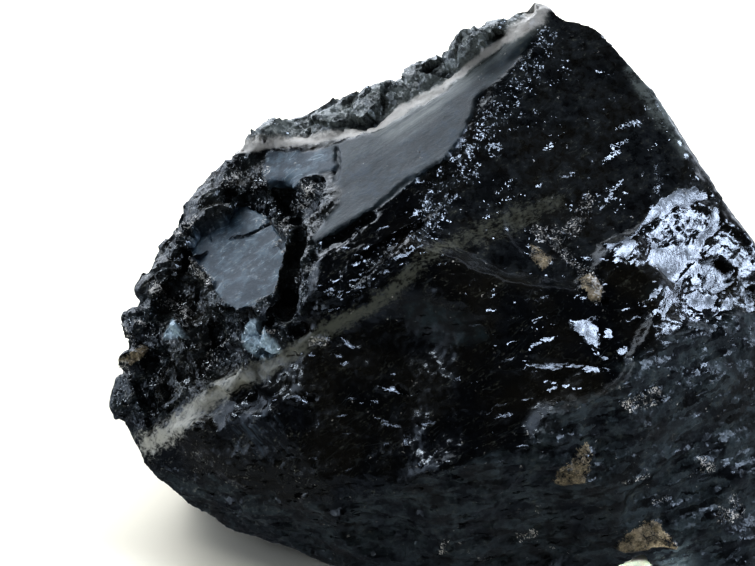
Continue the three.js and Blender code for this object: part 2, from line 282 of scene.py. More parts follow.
CRUMBS = [
    [(-34.9, -19, 0.8), (-33.9, -15.8, 1.2), (-31.9, -13.4, 0.9)],
    [(-45, -0.6, 1.1), (-41.5, -3.4, 1.3), (-38, -6.2, 1)],
    [(-36.9, 4.2, 0.9), (-35.5, 2.6, 1.2), (-33.9, 0.2, 0.9)],
    [(-40.3, 10.4, 0.8), (-37.9, 12.2, 0.8), (-35.9, 12.8, 0.5)],
    [(-31.1, 19.8, 0.8), (-27.9, 21.8, 0.8)],
    [(-24.3, 18.6, 1), (-23.1, 21.6, 1.2), (-22.3, 23, 0.8)],
    [(-16.7, 15, 0.8), (-14.3, 15.8, 1), (-13.1, 19.4, 1.1), (-15.5, 19.4, 0.8)],
    [(-20.3, 8.6, 1.1), (-19.1, 10.6, 1.3), (-18.3, 12.2, 0.8)],
    [(-51.3, -15.8, 0.8), (-49.9, -19, 1)],
    [(-45.5, -20.2, 0.7), (-43.5, -19.4, 0.7)],
    [(-48.3, -7.4, 0.5), (-45.9, -8.8, 0.6), (-44.7, -10, 0.5)],
    [(-40.3, -7, 0.4), (-38.3, -9, 0.5)],
    [(-13.5, -12, 0.8), (-10.7, -11, 0.9)],
    [(-33.1, -13.8, 0.5), (-29.9, -11, 0.5)],
    [(49.5, -39.8, 0.5), (51.7, -39.2, 0.6), (53.9, -38.4, 0.5)],
    [(64.7, -35.6, 0.7), (66.7, -37, 0.8)],
    [(71.1, -43.2, 0.8), (73.3, -45.6, 0.7)],
    [(20.5, -55.4, 0.6), (22.5, -54.8, 0.6)],
    [(55.5, -44, 0.5), (58.5, -43.4, 0.5)],
    [(12.7, -53.6, 0.5), (13.1, -51.8, 0.5)],
]
TAN_CRUMBS = [
    [(42.3, 17.8, 0.9), (41.3, 15, 1.2), (38.9, 11.4, 1.4), (36.5, 9.4, 0.9)],
    [
        (32.1, 11.4, 1.2), (34.5, 11, 1.4), (36.5, 8.6, 0.9), (39.5, 5.4, 0.9), (42.5, 2.6, 1),
        (43.9, -0.2, 1.3), (44.3, -3.4, 1),
    ],
    [(-19.7, 3.4, 0.5), (-20.7, -0.2, 0.5)],
    [(-23.3, -9.6, 0.9), (-21.3, -10.2, 0.9)],
    [(-51.5, -9, 1.2), (-49.5, -11.4, 1.2)],
    [(62.9, -38.4, 0.6), (64.9, -37.6, 0.7)],
    [(68.9, -46.6, 1.2), (72.5, -46.2, 1.1)],
    [(26.5, -51.6, 0.7), (30.9, -50, 0.7)],
    [(50.5, -24.4, 1.2), (55.9, -22.4, 1.5)],
]
SPARKLING_RIDGE = [
    (33.5, 49, 2.2), (27.7, 39.6, 2.4), (21.7, 34.2, 3), (18.9, 28.6, 3), (15.5, 23, 3), (10.9, 15.6, 3),
    (9.5, 11.6, 2.4), (3.5, 6.6, 2.2), (-2.5, 2.2, 2.6), (-6.5, -1.4, 2.5), (-11.9, -3.4, 2),
]
SPARKLING_BANDS = [
    [(18.5, 26.6, 4), (28.5, 32.6, 7), (36.5, 38.6, 9), (44.5, 44.6, 6)],
    [(20.5, 16.6, 5), (32.5, 18.6, 6), (38.5, 20.6, 5)],
    [(26.9, -11.6, 1), (29.3, -12, 1)],
    [(28.1, -4.4, 1.6), (32.1, -6.6, 1.6), (36.5, -7.8, 1.4)],
    [(44.5, 20.2, 1.4), (42.5, 8.6, 2.4), (44.5, 4.2, 2.4)],
    [(51.7, -6.6, 2), (62.5, -7, 2.6), (72.5, -7, 3)],
    [(-43.5, 4.6, 3), (-37.5, 16.6, 3), (-27.5, 24.6, 3)],
    [(-50.5, -23.4, 1.6), (-47.9, -29.4, 1.6), (-43.5, -37.4, 1.2), (-35.5, -45.4, 1)],
]
# Painted sheens: patches where a lighter grey-blue colour stands in for a dim reflection. They take a share
# of the dull patch's colour and roughness.
PAINTED_SHEENS = [
    [(55.7, 10.2), (64.5, 11), (63.9, 8.6), (59.7, 7), (54.9, 6.6)],
    [(53.7, 0.2), (58.1, 1.4), (58.9, -1), (55.5, -3), (52.5, -3.8)],
]
GLOSSY_BREAKS = [
    [
        (54.9, 15), (57.3, 17.2), (60.5, 18.6), (63.7, 18.8), (66.1, 17.2), (64.1, 16.6), (62.1, 15),
        (60.1, 15.4), (58.1, 14.2), (55.7, 13.4), (53.3, 12.2), (52.1, 10.6), (50.5, 9), (49.3, 8.2),
        (48.5, 8.6), (50.9, 10.2), (52.5, 11.8),
    ],
    [
        (67.7, 15.4), (68.5, 13.8), (68.5, 11.8), (66.9, 9.8), (64.9, 7.8), (63.7, 6.6), (62.5, 7),
        (64.1, 9), (65.7, 11), (66.9, 13.4),
    ],
    [
        (54.5, 6.6), (58.9, 7.4), (62.5, 7), (63.7, 5.4), (62.1, 4.2), (60.9, 2.2), (59.7, 0.2),
        (58.5, 0.6), (56.5, 2.6), (54.5, 4.2),
    ],
    [(64.5, 4.6), (68.5, 5), (71.3, 3), (71.7, 1), (70.1, -0.6), (67.7, -1.8), (65.7, -0.2), (66.5, 1.8)],
    [(62.1, -2.2), (64.1, -1.4), (65.7, -2.6), (68.1, -2.2), (67.3, -4.6), (64.5, -5), (62.5, -3.8)],
    [(44.5, 9), (46.1, 7.4), (48.5, 7.6), (46.5, 8.6)],
    [
        (38.5, -7.8), (41.3, -7.4), (44.1, -8.6), (44.5, -11), (44.1, -12.6), (42.9, -11.8),
        (41.3, -10.6), (39.3, -9.4),
    ],
    [(45.3, -9.4), (46.9, -9.6), (46.9, -10.8), (45.5, -10.8)],
    [
        (-18.1, -23.6), (-16.5, -22.6), (-14.1, -22.8), (-12.1, -22.4), (-12.3, -23.2), (-14.1, -23.8),
        (-16.5, -24.2),
    ],
    [(-0.5, -20.8), (1.5, -21.2), (3.9, -20.2), (6.5, -21.8), (3.5, -21.6), (0.9, -21.8)],
    [(-8.1, -10.6), (-6.1, -11.6), (-4.1, -12.6), (-5.5, -12.8), (-7.1, -11.8)],
    [(4.5, -31.4), (5.7, -31.2), (5.9, -32.4), (4.7, -32.6)],
    [(7.7, -35.6), (8.9, -35.8), (8.9, -36.8), (7.9, -36.6)],
    [(-20.3, -35.8), (-18.5, -36.2), (-18.7, -36.6), (-20.1, -36.6)],
    [(-16.5, -42.2), (-14.7, -42.2), (-15.1, -42.8), (-16.3, -42.8)],
    [(74.1, -1), (75.5, -0.6), (75.7, -5.4), (74.3, -5.8)],
]
GLOSSY_EDGES = [
    [(28.9, -15.4, 0.5), (33.5, -16.2, 0.5), (39.5, -16.6, 0.35), (46.1, -17.6, 0.3)],
    [(33.7, -19, 0.2), (40.9, -20.8, 0.2)],
    [(30.5, -12.6, 0.3), (33.7, -11.2, 0.35), (35.7, -10.8, 0.3)],
    [(40.9, 6.8, 0.35), (46.1, 4.8, 0.3)],
    [(47.7, 5, 0.3), (52.5, 3.8, 0.4)],
    [(44.9, 16.2, 0.4), (46.9, 18.6, 0.4), (48.9, 20.8, 0.4)],
    [(48.5, 31, 0.5), (52.1, 32, 0.6)],
    [(46.9, 27.4, 0.4), (49.9, 28.2, 0.4)],
    [(45.3, 25.2, 0.4), (48.1, 26.4, 0.4)],
    [(22.5, 29, 0.5), (24.5, 28.4, 0.6)],
    [(33.7, 27.4, 0.4), (34.9, 28.2, 0.4)],
    [(31.9, 20.4, 0.3), (32.9, 21, 0.3)],
    [(36.9, 22.2, 0.3), (39.7, 22.8, 0.3)],
    [(-12.5, -40.8, 0.2), (-11.1, -41, 0.25), (-9.3, -42.4, 0.2)],
    [(-31.3, -34.2, 0.25), (-28.7, -33.8, 0.25)],
    [(-7.7, -26.4, 0.5), (-6.5, -26.2, 0.5)],
    [(-0.3, -26.8, 0.2), (3.9, -28.6, 0.25)],
    [(-4.5, -24.4, 0.2), (-1.5, -23.6, 0.2)],
    [(40.5, -11.6, 0.25), (43.3, -13.4, 0.25), (45.7, -15.4, 0.25)],
    [(52.5, -4, 0.7), (54.9, -2.8, 0.7), (56.5, -1, 0.5)],
]
FLANK = [
    (-32, 27), (-12, 22.2), (-9, 16), (-12, 5), (-15.5, -11.4), (-45, -32), (-56, -32), (-56, 0),
    (-38, 17),
]
CREST = [
    (-32, 27), (-9.5, 29.4), (-0.5, 31), (3.5, 35), (10.5, 38.4), (18.5, 43.8), (25.5, 50), (31, 54),
    (34, 60), (24, 60), (10, 52), (-16, 40), (-32, 32),
]
UPPER_FACE = [
    (34, 53), (46, 52), (54, 42), (62, 28), (66, 19), (52, 11), (46, 8), (40, 0), (26, 2), (8, 10), (9, 18),
    (17, 28), (20, 35), (26, 42),
]
# Painted rim light: a thin band along the right edge of the upper face, given the crest's grey so that it
# looks lit through the thin edge.
PAINTED_RIM_LIGHT = [(50.5, 42, 0.8), (54.5, 37, 1.5), (58.5, 31.5, 1.5), (61.5, 25, 0.8)]
LOWER_BREAK = [
    (-47, -37), (-35.5, -39.4), (-27.5, -41.4), (-15.5, -44.4), (-5.5, -43.4), (10.5, -38.4),
    (28.5, -32.4), (36.5, -25.4), (44.5, -20.4), (52.5, -13.4), (64.5, -8.4), (80, -4), (96, -2),
    (96, -70), (-60, -70),
]
SWIRL = [
    (44.5, 8.6), (52.5, 16.6), (62.5, 19.6), (69.5, 15.6), (74.5, 8.6), (75.5, -3.4), (68.5, -9.4),
    (56.5, -9.4), (49.5, -3.4),
]
HACKLES = [(-30, -27), (-19, -26), (-17.5, -34), (-20, -36.5), (-27, -35)]
# Smooth scoops that look away from the light, and the way each one faces.
SCOOPS = [
    (
        [
            (44.5, 26.6), (52.5, 28.6), (55.5, 23.6), (55.5, 17.6), (50.5, 11.6), (44.5, 11.6),
            (42.9, 16.6), (46.9, 18.6),
        ],
        (-0.2, -0.6, 0.77),
    ),
    (
        [(45.7, 3), (52.5, 3.8), (56.9, 0.6), (58.1, -1.4), (53.5, -5.8), (46.9, -8.4), (45.3, -3.4)],
        (0, -0.72, 0.69),
    ),
    (
        [(28.9, -13.4), (33.5, -10.8), (40.5, -11), (44.1, -13.8), (44.5, -15.4), (36.5, -15.8)],
        (0, -0.9, 0.44),
    ),
]
# The hollows: where each lies, its radius and how deep it is.
HOLLOWS = [
    (-30, 17.5, 3, 1.2), (-24, 19, 4.5, 2), (-17, 16.5, 4, 2), (-39, -3, 6, 0.4), (-33, -10, 4, 0.8),
    (-17.5, -3, 2, 2), (-16, -9, 2.4, 2), (45.4, -3.5, 1, 1.6),
]
# How wide, deep and high the ledges of the broad front are, in mm, and the ways that the plane breaks face.
LEDGES = np.array((5, 3, 1.6))
UPPER_WAY = (-0.02, -0.66, 0.75)
FIELD_WAY = (-0.15, -0.8, 0.58)
ROUND_FACE_WAY = (-0.42, -0.32, 0.85)
# The ways to the two lights that show as glints, and those of the facets that mirror them to the camera.
WINDOW_WAY = Vector((0.8, -0.1, 0.59)).normalized()
LEFT_LAMP_WAY = Vector((-0.754, -0.251, 0.604)).normalized()
GLOSSY_WAY = (WINDOW_WAY + out_of_front).normalized()
FLANK_WAY = (LEFT_LAMP_WAY + out_of_front).normalized()

satin = patch_mask(SATIN_FACE, 0.8) * faces_front
blue_patch = patch_mask(BLUE_PATCH, 0.8) * faces_front
round_face = patch_mask(ROUND_FACE, 0.6)
smooth = np.maximum.reduce((satin, round_face, blue_patch))
calm = np.maximum.reduce([patch_mask(outline, 2.0) for outline, way in SCOOPS]) * faces_front
flank = patch_mask(FLANK, 2.0) * (1 - smooth)
crest = patch_mask(CREST, 1.5) * (1 - smooth)
# The crushed edge goes a little way over the ridge, to the back.
over_ridge = 0.4 * ramp(out, -14, -10) * ramp(-towards_camera, -0.2, 0.2) * ramp(front[:, 1], 15, 25)
crest = np.maximum(crest, over_ridge)
crumbs = np.maximum.reduce([line_mask(line, 0.8) for line in CRUMBS])
tan_crumbs = np.maximum.reduce([line_mask(line, 0.8) for line in TAN_CRUMBS]) * faces_front
tan_crystals = np.maximum.reduce([patch_mask(outline, 0.6) for outline in TAN_CRYSTALS]) * faces_front
glassy = np.maximum.reduce([patch_mask(outline, 0.5) for outline in GLASSY_CRYSTALS])
sparkling = 0.7 * np.maximum.reduce([line_mask(line, 1.0) for line in SPARKLING_BANDS])
ridge = line_mask(SPARKLING_RIDGE, 1.0) * (1 - smooth)
sparkling = np.maximum(sparkling * (1 - smooth), 1.5 * ridge)
swirl = patch_mask(SWIRL, 5.0) * faces_front * (1 - calm)
upper = patch_mask(UPPER_FACE, 5.0) * faces_front * (1 - smooth)
lower = ramp(patch_mask(LOWER_BREAK, 8.0) + 0.4 * swell(4, 9.0), 0.3, 0.7) * faces_front
dull = patch_mask(DULL_PATCH, 1.5) * faces_front
painted_sheens = np.maximum.reduce([patch_mask(outline, 2.5) for outline in PAINTED_SHEENS]) * faces_front
hackles = patch_mask(HACKLES, 2.5) * faces_front
white_vein = line_mask(WHITE_VEIN, 1.0)
vein_haze = line_mask(VEIN_HAZE, 1.0)
pale_vein = line_mask(PALE_VEIN, 2.0) * (1 - 0.35 * ramp(front[:, 0], -6, 14))
off_base = ramp(whole[:, 2], 0.3, 2.5)
places = whole.copy()


def raise_skin(height):
    """Moves the skin outwards by a height in mm, and never the flat base."""
    places[:] += facing * (height * off_base)[:, None]


def split_off(mask, way, most=1.5):
    """Flattens the skin under a mask towards one plane that faces a given way, by at most so many mm."""
    way = np.array(Vector(way).normalized())
    middle = (places * mask[:, None]).sum(0) / mask.sum()
    places[:] -= way * (np.clip((places - middle) @ way, -most, most) * mask)[:, None]


# Conchoidal breaks and their arrest lines on the fresh skin, and splinters on what is crushed or etched.
split_off(0.75 * upper, UPPER_WAY, 4.0)
split_off(0.8 * patch_mask(LOWER_STEP, 2.0) * faces_front * (1 - satin), UPPER_WAY, 3.0)
field = patch_mask(BLACK_FIELD, 7.0) * faces_front
split_off(0.65 * field, FIELD_WAY, 4.0)
split_off(round_face, ROUND_FACE_WAY, 6.0)
for outline, way in SCOOPS:
    split_off(patch_mask(outline, 6.0) * faces_front, way, 2.0)
bare = (1 - smooth) * (1 - 0.7 * pale_vein)
fresh = bare * (1 - 0.8 * flank) * (1 - 0.8 * crest) * (1 - 0.5 * lower) * (1 - 0.9 * calm)
even = fresh * (1 - 0.6 * upper)
patchy = ramp(swell(7, 2.0), 0.0, 0.35)
shattered = patchy * fresh * (1 - lower)
raise_skin(0.5 * bowls(13, 3.0, even * (1 - 0.6 * sparkling)) - 0.2 * fresh)
raise_skin(0.15 * np.floor(6 * swell(LEDGES * 3.4, 23.0) + 0.8 * swell(LEDGES, 5.0)) * even)
raise_skin(0.22 * splinters(LEDGES * 0.7, 12.0, fresh) + 0.15 * splinters(LEDGES * 0.35, 16.0, shattered))
raise_skin(0.16 * splinters(3.4, 4.0, sparkling) + 0.16 * splinters(1.7, 6.0, sparkling))
raise_skin(0.3 * splinters(1.8, 26.0, np.maximum.reduce((crumbs, tan_crumbs, tan_crystals))))
raise_skin(0.15 * crumbs + 0.5 * tan_crystals + 0.3 * glassy + 0.6 * splinters(2.6, 36.0, glassy))
pitted = flank * (1 - 0.7 * pale_vein)
finely_pitted = pitted * ramp(swell(5, 15.0), -0.1, 0.2)
raise_skin(0.45 * splinters(6, 1.0, pitted) + 0.35 * splinters(2.4, 8.0, finely_pitted))
rocky = crest * (1 - 0.6 * white_vein * ramp(front[:, 0], 26, 20))
raise_skin(
    0.6 * splinters(8, 3.0, rocky) + 0.4 * splinters(3.5, 1.0, rocky) + 0.3 * splinters(1.8, 8.0, rocky)
)
steps = 0.18 * np.floor(5 * swell(LEDGES * 2.2, 11.0) + swell(2.5, 19.0))
raise_skin(lower * (0.25 * swell(5, 7.0) + steps))
lower_left = lower * (1 - 0.6 * ramp(front[:, 0], 35, 55))
finely_split = lower_left * (0.3 + 0.7 * patchy)
raise_skin(0.5 * splinters(LEDGES, 17.0, lower_left) + 0.35 * splinters(1.8, 27.0, finely_split))
raise_skin(-0.4 * np.maximum(line_mask(GROOVE, 0.6), line_mask(CRACK, 0.6)))

# Small glossy breaks that each have a place of their own and all face the light.
glossy = np.zeros(len(whole))
for outline in GLOSSY_BREAKS:
    glint = patch_mask(outline, 1.1) * faces_front
    split_off(glint, GLOSSY_WAY, 2.0)
    glossy = np.maximum(glossy, glint)
fine_edges = np.maximum.reduce([line_mask(line, 0.4) for line in GLOSSY_EDGES]) * faces_front

for across, up, radius, depth in HOLLOWS:
    off = np.hypot(front[:, 0] - across, front[:, 1] - up) / radius
    raise_skin(-depth * ramp(-off, -1, -0.1) * faces_front * bare)
places[:, 2] = np.maximum(places[:, 2], 0)

# How far the small facets lean, and where some of them mirror a light: in clusters a few mm wide.
rubble = np.maximum.reduce((0.42 * flank, 0.5 * crest, crumbs, tan_crumbs, 0.7 * tan_crystals, 0.7 * glassy))
uneven_glass = 0.04 + 0.05 * ramp(swell(6, 51.0), 0, 0.4)
leaning = np.maximum.reduce((rubble, 0.12 * sparkling, 0.2 * lower, uneven_glass)) * (1 - smooth)
clusters = ramp(swell(4, 33.0) + 0.6 * swell(1.6, 41.0), 0.0, 0.5)
slivers = faces_front * (1 - smooth) * (1 - upper) * (1 - swirl) * (1 - flank) * (1 - crest)
gleams = np.maximum.reduce((sparkling, 1.4 * flank, 0.1 * (1 - smooth), 0.25 * slivers, 0.45 * upper))
gleams = np.maximum.reduce((
    gleams * clusters, 0.4 * swirl, 1.2 * ridge, 3 * fine_edges, 1.4 * crumbs, 1.2 * glassy,
))

lump.data.vertices.foreach_set("co", (places * MM).astype(np.float32).ravel())
for name, mask in {
    "satin": satin,
    "blue": np.maximum(round_face, blue_patch),
    "flank": flank,
    "crest": np.maximum(crest, 0.9 * line_mask(PAINTED_RIM_LIGHT, 1.0)),
    "crumbs": crumbs,
    "tan_crumbs": tan_crumbs,
    "tan_crystals": tan_crystals,
    "glassy": glassy,
    "swirl": swirl,
    "slivers": slivers,
    "upper": upper,
    "lower": lower,
    # the dull patch, and a painted sheen at a third where the sheens lie
    "dull": np.maximum(dull, 0.3 * painted_sheens),
    "hackles": hackles,
    "glossy": glossy,
    "leaning": leaning,
    "gleams": gleams,
    "white_vein": white_vein,
    "vein_haze": vein_haze,
    "pale_vein": pale_vein,
    "across": front[:, 0],
}.items():
    held = lump.data.attributes.new(name, "FLOAT", "POINT")
    held.data.foreach_set("value", mask.astype(np.float32))
lump.data.update()
SHARP = math.radians(28)  # breaks that meet at more than this keep a sharp edge
bpy.ops.object.shade_smooth_by_angle(angle=SHARP)


def linear(hex_colour):
    """A colour as sRGB hex, turned to the linear values that a shader takes."""
    shares = [int(hex_colour[i : i + 2], 16) / 255 for i in (1, 3, 5)]
    return [*(s / 12.92 if s <= 0.04045 else ((s + 0.055) / 1.055) ** 2.4 for s in shares), 1.0]


def node(tree, kind, sockets=None, out=0, **settings):
    """Adds a node with its settings, sets or links its inputs, and gives back one of its outputs."""
    made = tree.nodes.new(kind)
    for name, value in settings.items():
        setattr(made, name, value)
    for name, value in (sockets or {}).items():
        if isinstance(value, bpy.types.NodeSocket):
            tree.links.new(value, made.inputs[name])
        else:
            made.inputs[name].default_value = value
    return made.outputs[out] if made.outputs else made


# Morion: smoky quartz so dark that it is opaque, with the glassy lustre of a fresh break. Etched and finely
# hackled faces scatter light and look slate grey, and the veins are milky quartz.
QUARTZ_IOR = 1.544
GLASS_SHINE = "#e2eefa"
BLACK = "#0f1114"
SMOKY = "#1f1d18"
SLATE = "#1a2327"
STREAK = "#2f3b40"
BLUE_SLATE = "#1f2d39"
BLUE_CLOUD = "#435663"
SCRATCH = "#aebcc6"
HACKLED_GREY_AND_SHEEN = "#33373a"
ARREST_LINE_HIGHLIGHT = "#4a4f50"
RIB_HIGHLIGHT = "#39424a"
ETCHED = "#3a4346"
DULL_AND_SHEEN_GREY = "#263234"
CREST_GREY_AND_RIM_LIGHT = "#6a706f"
GLASSY_PALE_AND_SHEEN = "#9fb2bf"
CRUSHED = "#30353a"
POWDER = "#dedcd8"
STAINED = "#a39780"
TAN = "#3d382d"
VEIN_WHITE = "#aeaca8"
HAZE = "#6a6f6d"
VEIN_GREY = "#b4b4ae"
VEIN_OLIVE = "#5e5f54"
STRIAE_TURN = (0.0, math.radians(-28.6), math.radians(21.1))  # +X turned to run up the satin face's foot
LEDGE_TURN = (0.0, math.radians(-14), math.radians(8))  # +X turned to run along the ledges
HACKLE_TURN = (0.0, math.radians(36), math.radians(-20))  # +X turned to run down the front, to the right
SWIRL_TURN = (0.0, math.radians(-33), math.radians(17.6))  # +X turned to run up the front, to the right
VEIN_TURN = (0.0, math.radians(-31), math.radians(15))  # +X turned to run along the pale vein

morion = bpy.data.materials.new("broken_morion_quartz")
morion.use_nodes = True
tree = morion.node_tree
tree.nodes.clear()
place = node(tree, "ShaderNodeTexCoord", out="Object")
place = node(tree, "ShaderNodeVectorMath", {0: place, "Scale": 1000.0}, operation="SCALE")
zone = {
    held.name: node(tree, "ShaderNodeAttribute", out="Fac", attribute_name=held.name)
    for held in lump.data.attributes
    if held.data_type == "FLOAT" and held.domain == "POINT"
}

# Noise at three scales: cloudy zones 12 mm wide, mottling of 3 mm and grain of 0.7 mm.
wide = node(tree, "ShaderNodeTexNoise", {"Vector": place, "Scale": 0.08, "Detail": 5.0})
mottle = node(tree, "ShaderNodeTexNoise", {"Vector": place, "Scale": 0.3, "Detail": 8.0, "Roughness": 0.7})
grain = node(tree, "ShaderNodeTexNoise", {"Vector": place, "Scale": 1.4, "Detail": 6.0, "Roughness": 0.65})
rough_edge = node(tree, "ShaderNodeMath", {0: grain, 1: 0.5}, operation="SUBTRACT")
mottled = node(
    tree,
    "ShaderNodeMapRange",
    {"Value": mottle, "From Min": 0.43, "From Max": 0.6},
    interpolation_type="SMOOTHSTEP",
)
smoky = node(
    tree,
    "ShaderNodeMapRange",
    {"Value": wide, "From Min": 0.42, "From Max": 0.62},
    interpolation_type="SMOOTHSTEP",
)

# Facets 0.3 and 1.1 mm wide with ragged edges, and long ones that lie like the ledges. Crushed quartz has
# facets down to 0.1 mm, drawn coarser here: 0.3 mm ones are the finest that show.
jitter = node(tree, "ShaderNodeTexNoise", {"Vector": place, "Scale": 1.1, "Detail": 4.0}, out="Color")
ragged = node(
    tree, "ShaderNodeVectorMath", {0: jitter, 1: (1.4, 1.4, 1.4), 2: place}, operation="MULTIPLY_ADD"
)
fine_cells = node(tree, "ShaderNodeTexVoronoi", {"Vector": ragged, "Scale": 3.6}, out="Color")
cells = node(tree, "ShaderNodeTexVoronoi", {"Vector": ragged, "Scale": 0.9}, out="Color")
long_cells = node(
    tree,
    "ShaderNodeMapping",
    {"Vector": ragged, "Rotation": LEDGE_TURN, "Scale": (4, 2, 1)},
    vector_type="TEXTURE",
)
long_cells = node(tree, "ShaderNodeTexVoronoi", {"Vector": long_cells, "Scale": 0.9}, out="Color")
dice = node(tree, "ShaderNodeSeparateColor", {"Color": fine_cells}, out="Red")
other_dice = node(tree, "ShaderNodeSeparateColor", {"Color": fine_cells}, out="Green")
coarse_dice = node(tree, "ShaderNodeSeparateColor", {"Color": cells}, out="Red")
long_dice = node(tree, "ShaderNodeSeparateColor", {"Color": long_cells}, out="Red")
# Shards of the swirl are 0.3 mm thick and drawn out 5 times, up the front.
shards = node(
    tree,
    "ShaderNodeMapping",
    {"Vector": ragged, "Rotation": SWIRL_TURN, "Scale": (5, 2, 1)},
    vector_type="TEXTURE",
)
shards = node(tree, "ShaderNodeTexVoronoi", {"Vector": shards, "Scale": 3.4}, out="Color")
shard_dice = node(tree, "ShaderNodeSeparateColor", {"Color": shards}, out="Blue")
# The glossy sheets of the swirl are 2 to 3 mm wide and drawn out 4 times, up the front.
sheets = node(
    tree,
    "ShaderNodeMapping",
    {"Vector": place, "Rotation": SWIRL_TURN, "Scale": (4, 2, 1)},
    vector_type="TEXTURE",
)
sheets = node(
    tree,
    "ShaderNodeTexNoise",
    {"Vector": sheets, "Scale": 0.35, "Detail": 5.0, "Roughness": 0.6, "Distortion": 0.8},
)
sheets = node(tree, "ShaderNodeMath", {0: zone["swirl"], 1: 0.35, 2: sheets}, operation="MULTIPLY_ADD")
sheets = node(tree, "ShaderNodeMapRange", {"Value": sheets, "From Min": 0.9, "From Max": 0.95})
# Slivers of the dark front are 0.3 mm thick and drawn out 6 times, along the ledges.
slivers = node(
    tree,
    "ShaderNodeMapping",
    {"Vector": ragged, "Rotation": LEDGE_TURN, "Scale": (6, 3, 1)},
    vector_type="TEXTURE",
)
slivers = node(tree, "ShaderNodeTexVoronoi", {"Vector": slivers, "Scale": 3.0}, out="Color")
sliver_dice = node(tree, "ShaderNodeSeparateColor", {"Color": slivers}, out="Blue")
both_dice = node(tree, "ShaderNodeMix", {0: 0.25, 2: dice, 3: coarse_dice})
cover_share = node(
    tree,
    "ShaderNodeMapRange",
    {"Value": mottle, "From Min": 0.4, "From Max": 0.6, "To Min": 0.4, "To Max": 1.0},
)

# Striations run up the satin face, along its foot: the pattern is drawn out 12 times that way.
striae = node(
    tree,
    "ShaderNodeMapping",
    {"Vector": place, "Rotation": STRIAE_TURN, "Scale": (12, 1, 1)},
    vector_type="TEXTURE",
)
striae = node(
    tree, "ShaderNodeTexNoise", {"Vector": striae, "Scale": 0.6, "Detail": 7.0, "Roughness": 0.75}
)
# Ripples of a glossy break are drawn out 6 times, up the front.
ripples = node(
    tree,
    "ShaderNodeMapping",
    {"Vector": place, "Rotation": SWIRL_TURN, "Scale": (6, 2, 1)},
    vector_type="TEXTURE",
)
ripples = node(
    tree,
    "ShaderNodeTexNoise",
    {"Vector": ripples, "Scale": 0.7, "Detail": 3.0, "Distortion": 0.8},
    out="Color",
)
# Hackles are fine ribs that fan down a break, drawn out 10 times.
hackles = node(
    tree,
    "ShaderNodeMapping",
    {"Vector": place, "Rotation": HACKLE_TURN, "Scale": (10, 2, 1)},
    vector_type="TEXTURE",
)
hackles = node(
    tree, "ShaderNodeTexNoise", {"Vector": hackles, "Scale": 1.3, "Detail": 4.0, "Distortion": 0.4}
)
hackles = node(tree, "ShaderNodeMapRange", {"Value": hackles, "From Min": 0.52, "From Max": 0.68})
# Scratches and arrest lines are where a smooth noise passes one value: thin lines a few mm apart, drawn out
# 4 times.
scratches = node(
    tree,
    "ShaderNodeMapping",
    {"Vector": place, "Rotation": SWIRL_TURN, "Scale": (4, 2, 1)},
    vector_type="TEXTURE",
)
scratches = node(
    tree, "ShaderNodeTexNoise", {"Vector": scratches, "Scale": 0.3, "Detail": 2.0, "Distortion": 0.7}
)
scratches = node(tree, "ShaderNodeMath", {0: scratches, 1: 14.0}, operation="MULTIPLY")
scratches = node(tree, "ShaderNodeMath", {0: scratches, 1: 1.0}, operation="PINGPONG")
scratches = node(tree, "ShaderNodeMapRange", {"Value": scratches, "From Min": 0.86, "From Max": 0.98})
scratches = node(tree, "ShaderNodeMath", {0: scratches, 1: mottled}, operation="MULTIPLY")

# Colour, from the black glass up to what lies on it.
colour = node(
    tree, "ShaderNodeMix", {0: smoky, 6: linear(BLACK), 7: linear(SMOKY)}, out=2, data_type="RGBA"
)
share = node(tree, "ShaderNodeMix", {0: 0.5, 2: mottled, 3: long_dice})
share = node(tree, "ShaderNodeMapRange", {"Value": share, "From Min": 0.2, "From Max": 0.85})
etched = node(tree, "ShaderNodeMath", {0: zone["flank"], 1: 0.4}, operation="MULTIPLY")
etched = node(tree, "ShaderNodeMath", {0: zone["lower"], 1: etched}, operation="MAXIMUM")
share = node(tree, "ShaderNodeMath", {0: etched, 1: share}, operation="MULTIPLY")
colour = node(tree, "ShaderNodeMix", {0: share, 6: colour, 7: linear(ETCHED)}, out=2, data_type="RGBA")
# Grey patches on the upper face: partly its hackled, light-scattering skin, partly a painted sheen, colour
# that stands in for soft reflections.
share = node(tree, "ShaderNodeMix", {0: 0.45, 2: mottled, 3: coarse_dice})
share = node(tree, "ShaderNodeMath", {0: zone["upper"], 1: share}, operation="MULTIPLY")
colour = node(tree, "ShaderNodeMix", {0: share, 6: colour, 7: linear(HACKLED_GREY_AND_SHEEN)}, out=2, data_type="RGBA")
# Arrest lines as lighter grey lines over every zone: painted highlights where their ridges would catch the
# light.
share = node(tree, "ShaderNodeMath", {0: scratches, 1: 0.35}, operation="MULTIPLY")
colour = node(tree, "ShaderNodeMix", {0: share, 6: colour, 7: linear(ARREST_LINE_HIGHLIGHT)}, out=2, data_type="RGBA")
# The dull patch's own grey, which on the sheens is a painted sheen: colour standing in for a dim reflection.
share = node(tree, "ShaderNodeMath", {0: zone["dull"], 1: mottled}, operation="MULTIPLY")
colour = node(tree, "ShaderNodeMix", {0: share, 6: colour, 7: linear(DULL_AND_SHEEN_GREY)}, out=2, data_type="RGBA")
# The hackle ribs are only colour: painted highlights, lighter grey lines where ribs would catch the light.
share = node(tree, "ShaderNodeMath", {0: zone["hackles"], 1: hackles}, operation="MULTIPLY")
colour = node(tree, "ShaderNodeMix", {0: share, 6: colour, 7: linear(RIB_HIGHLIGHT)}, out=2, data_type="RGBA")
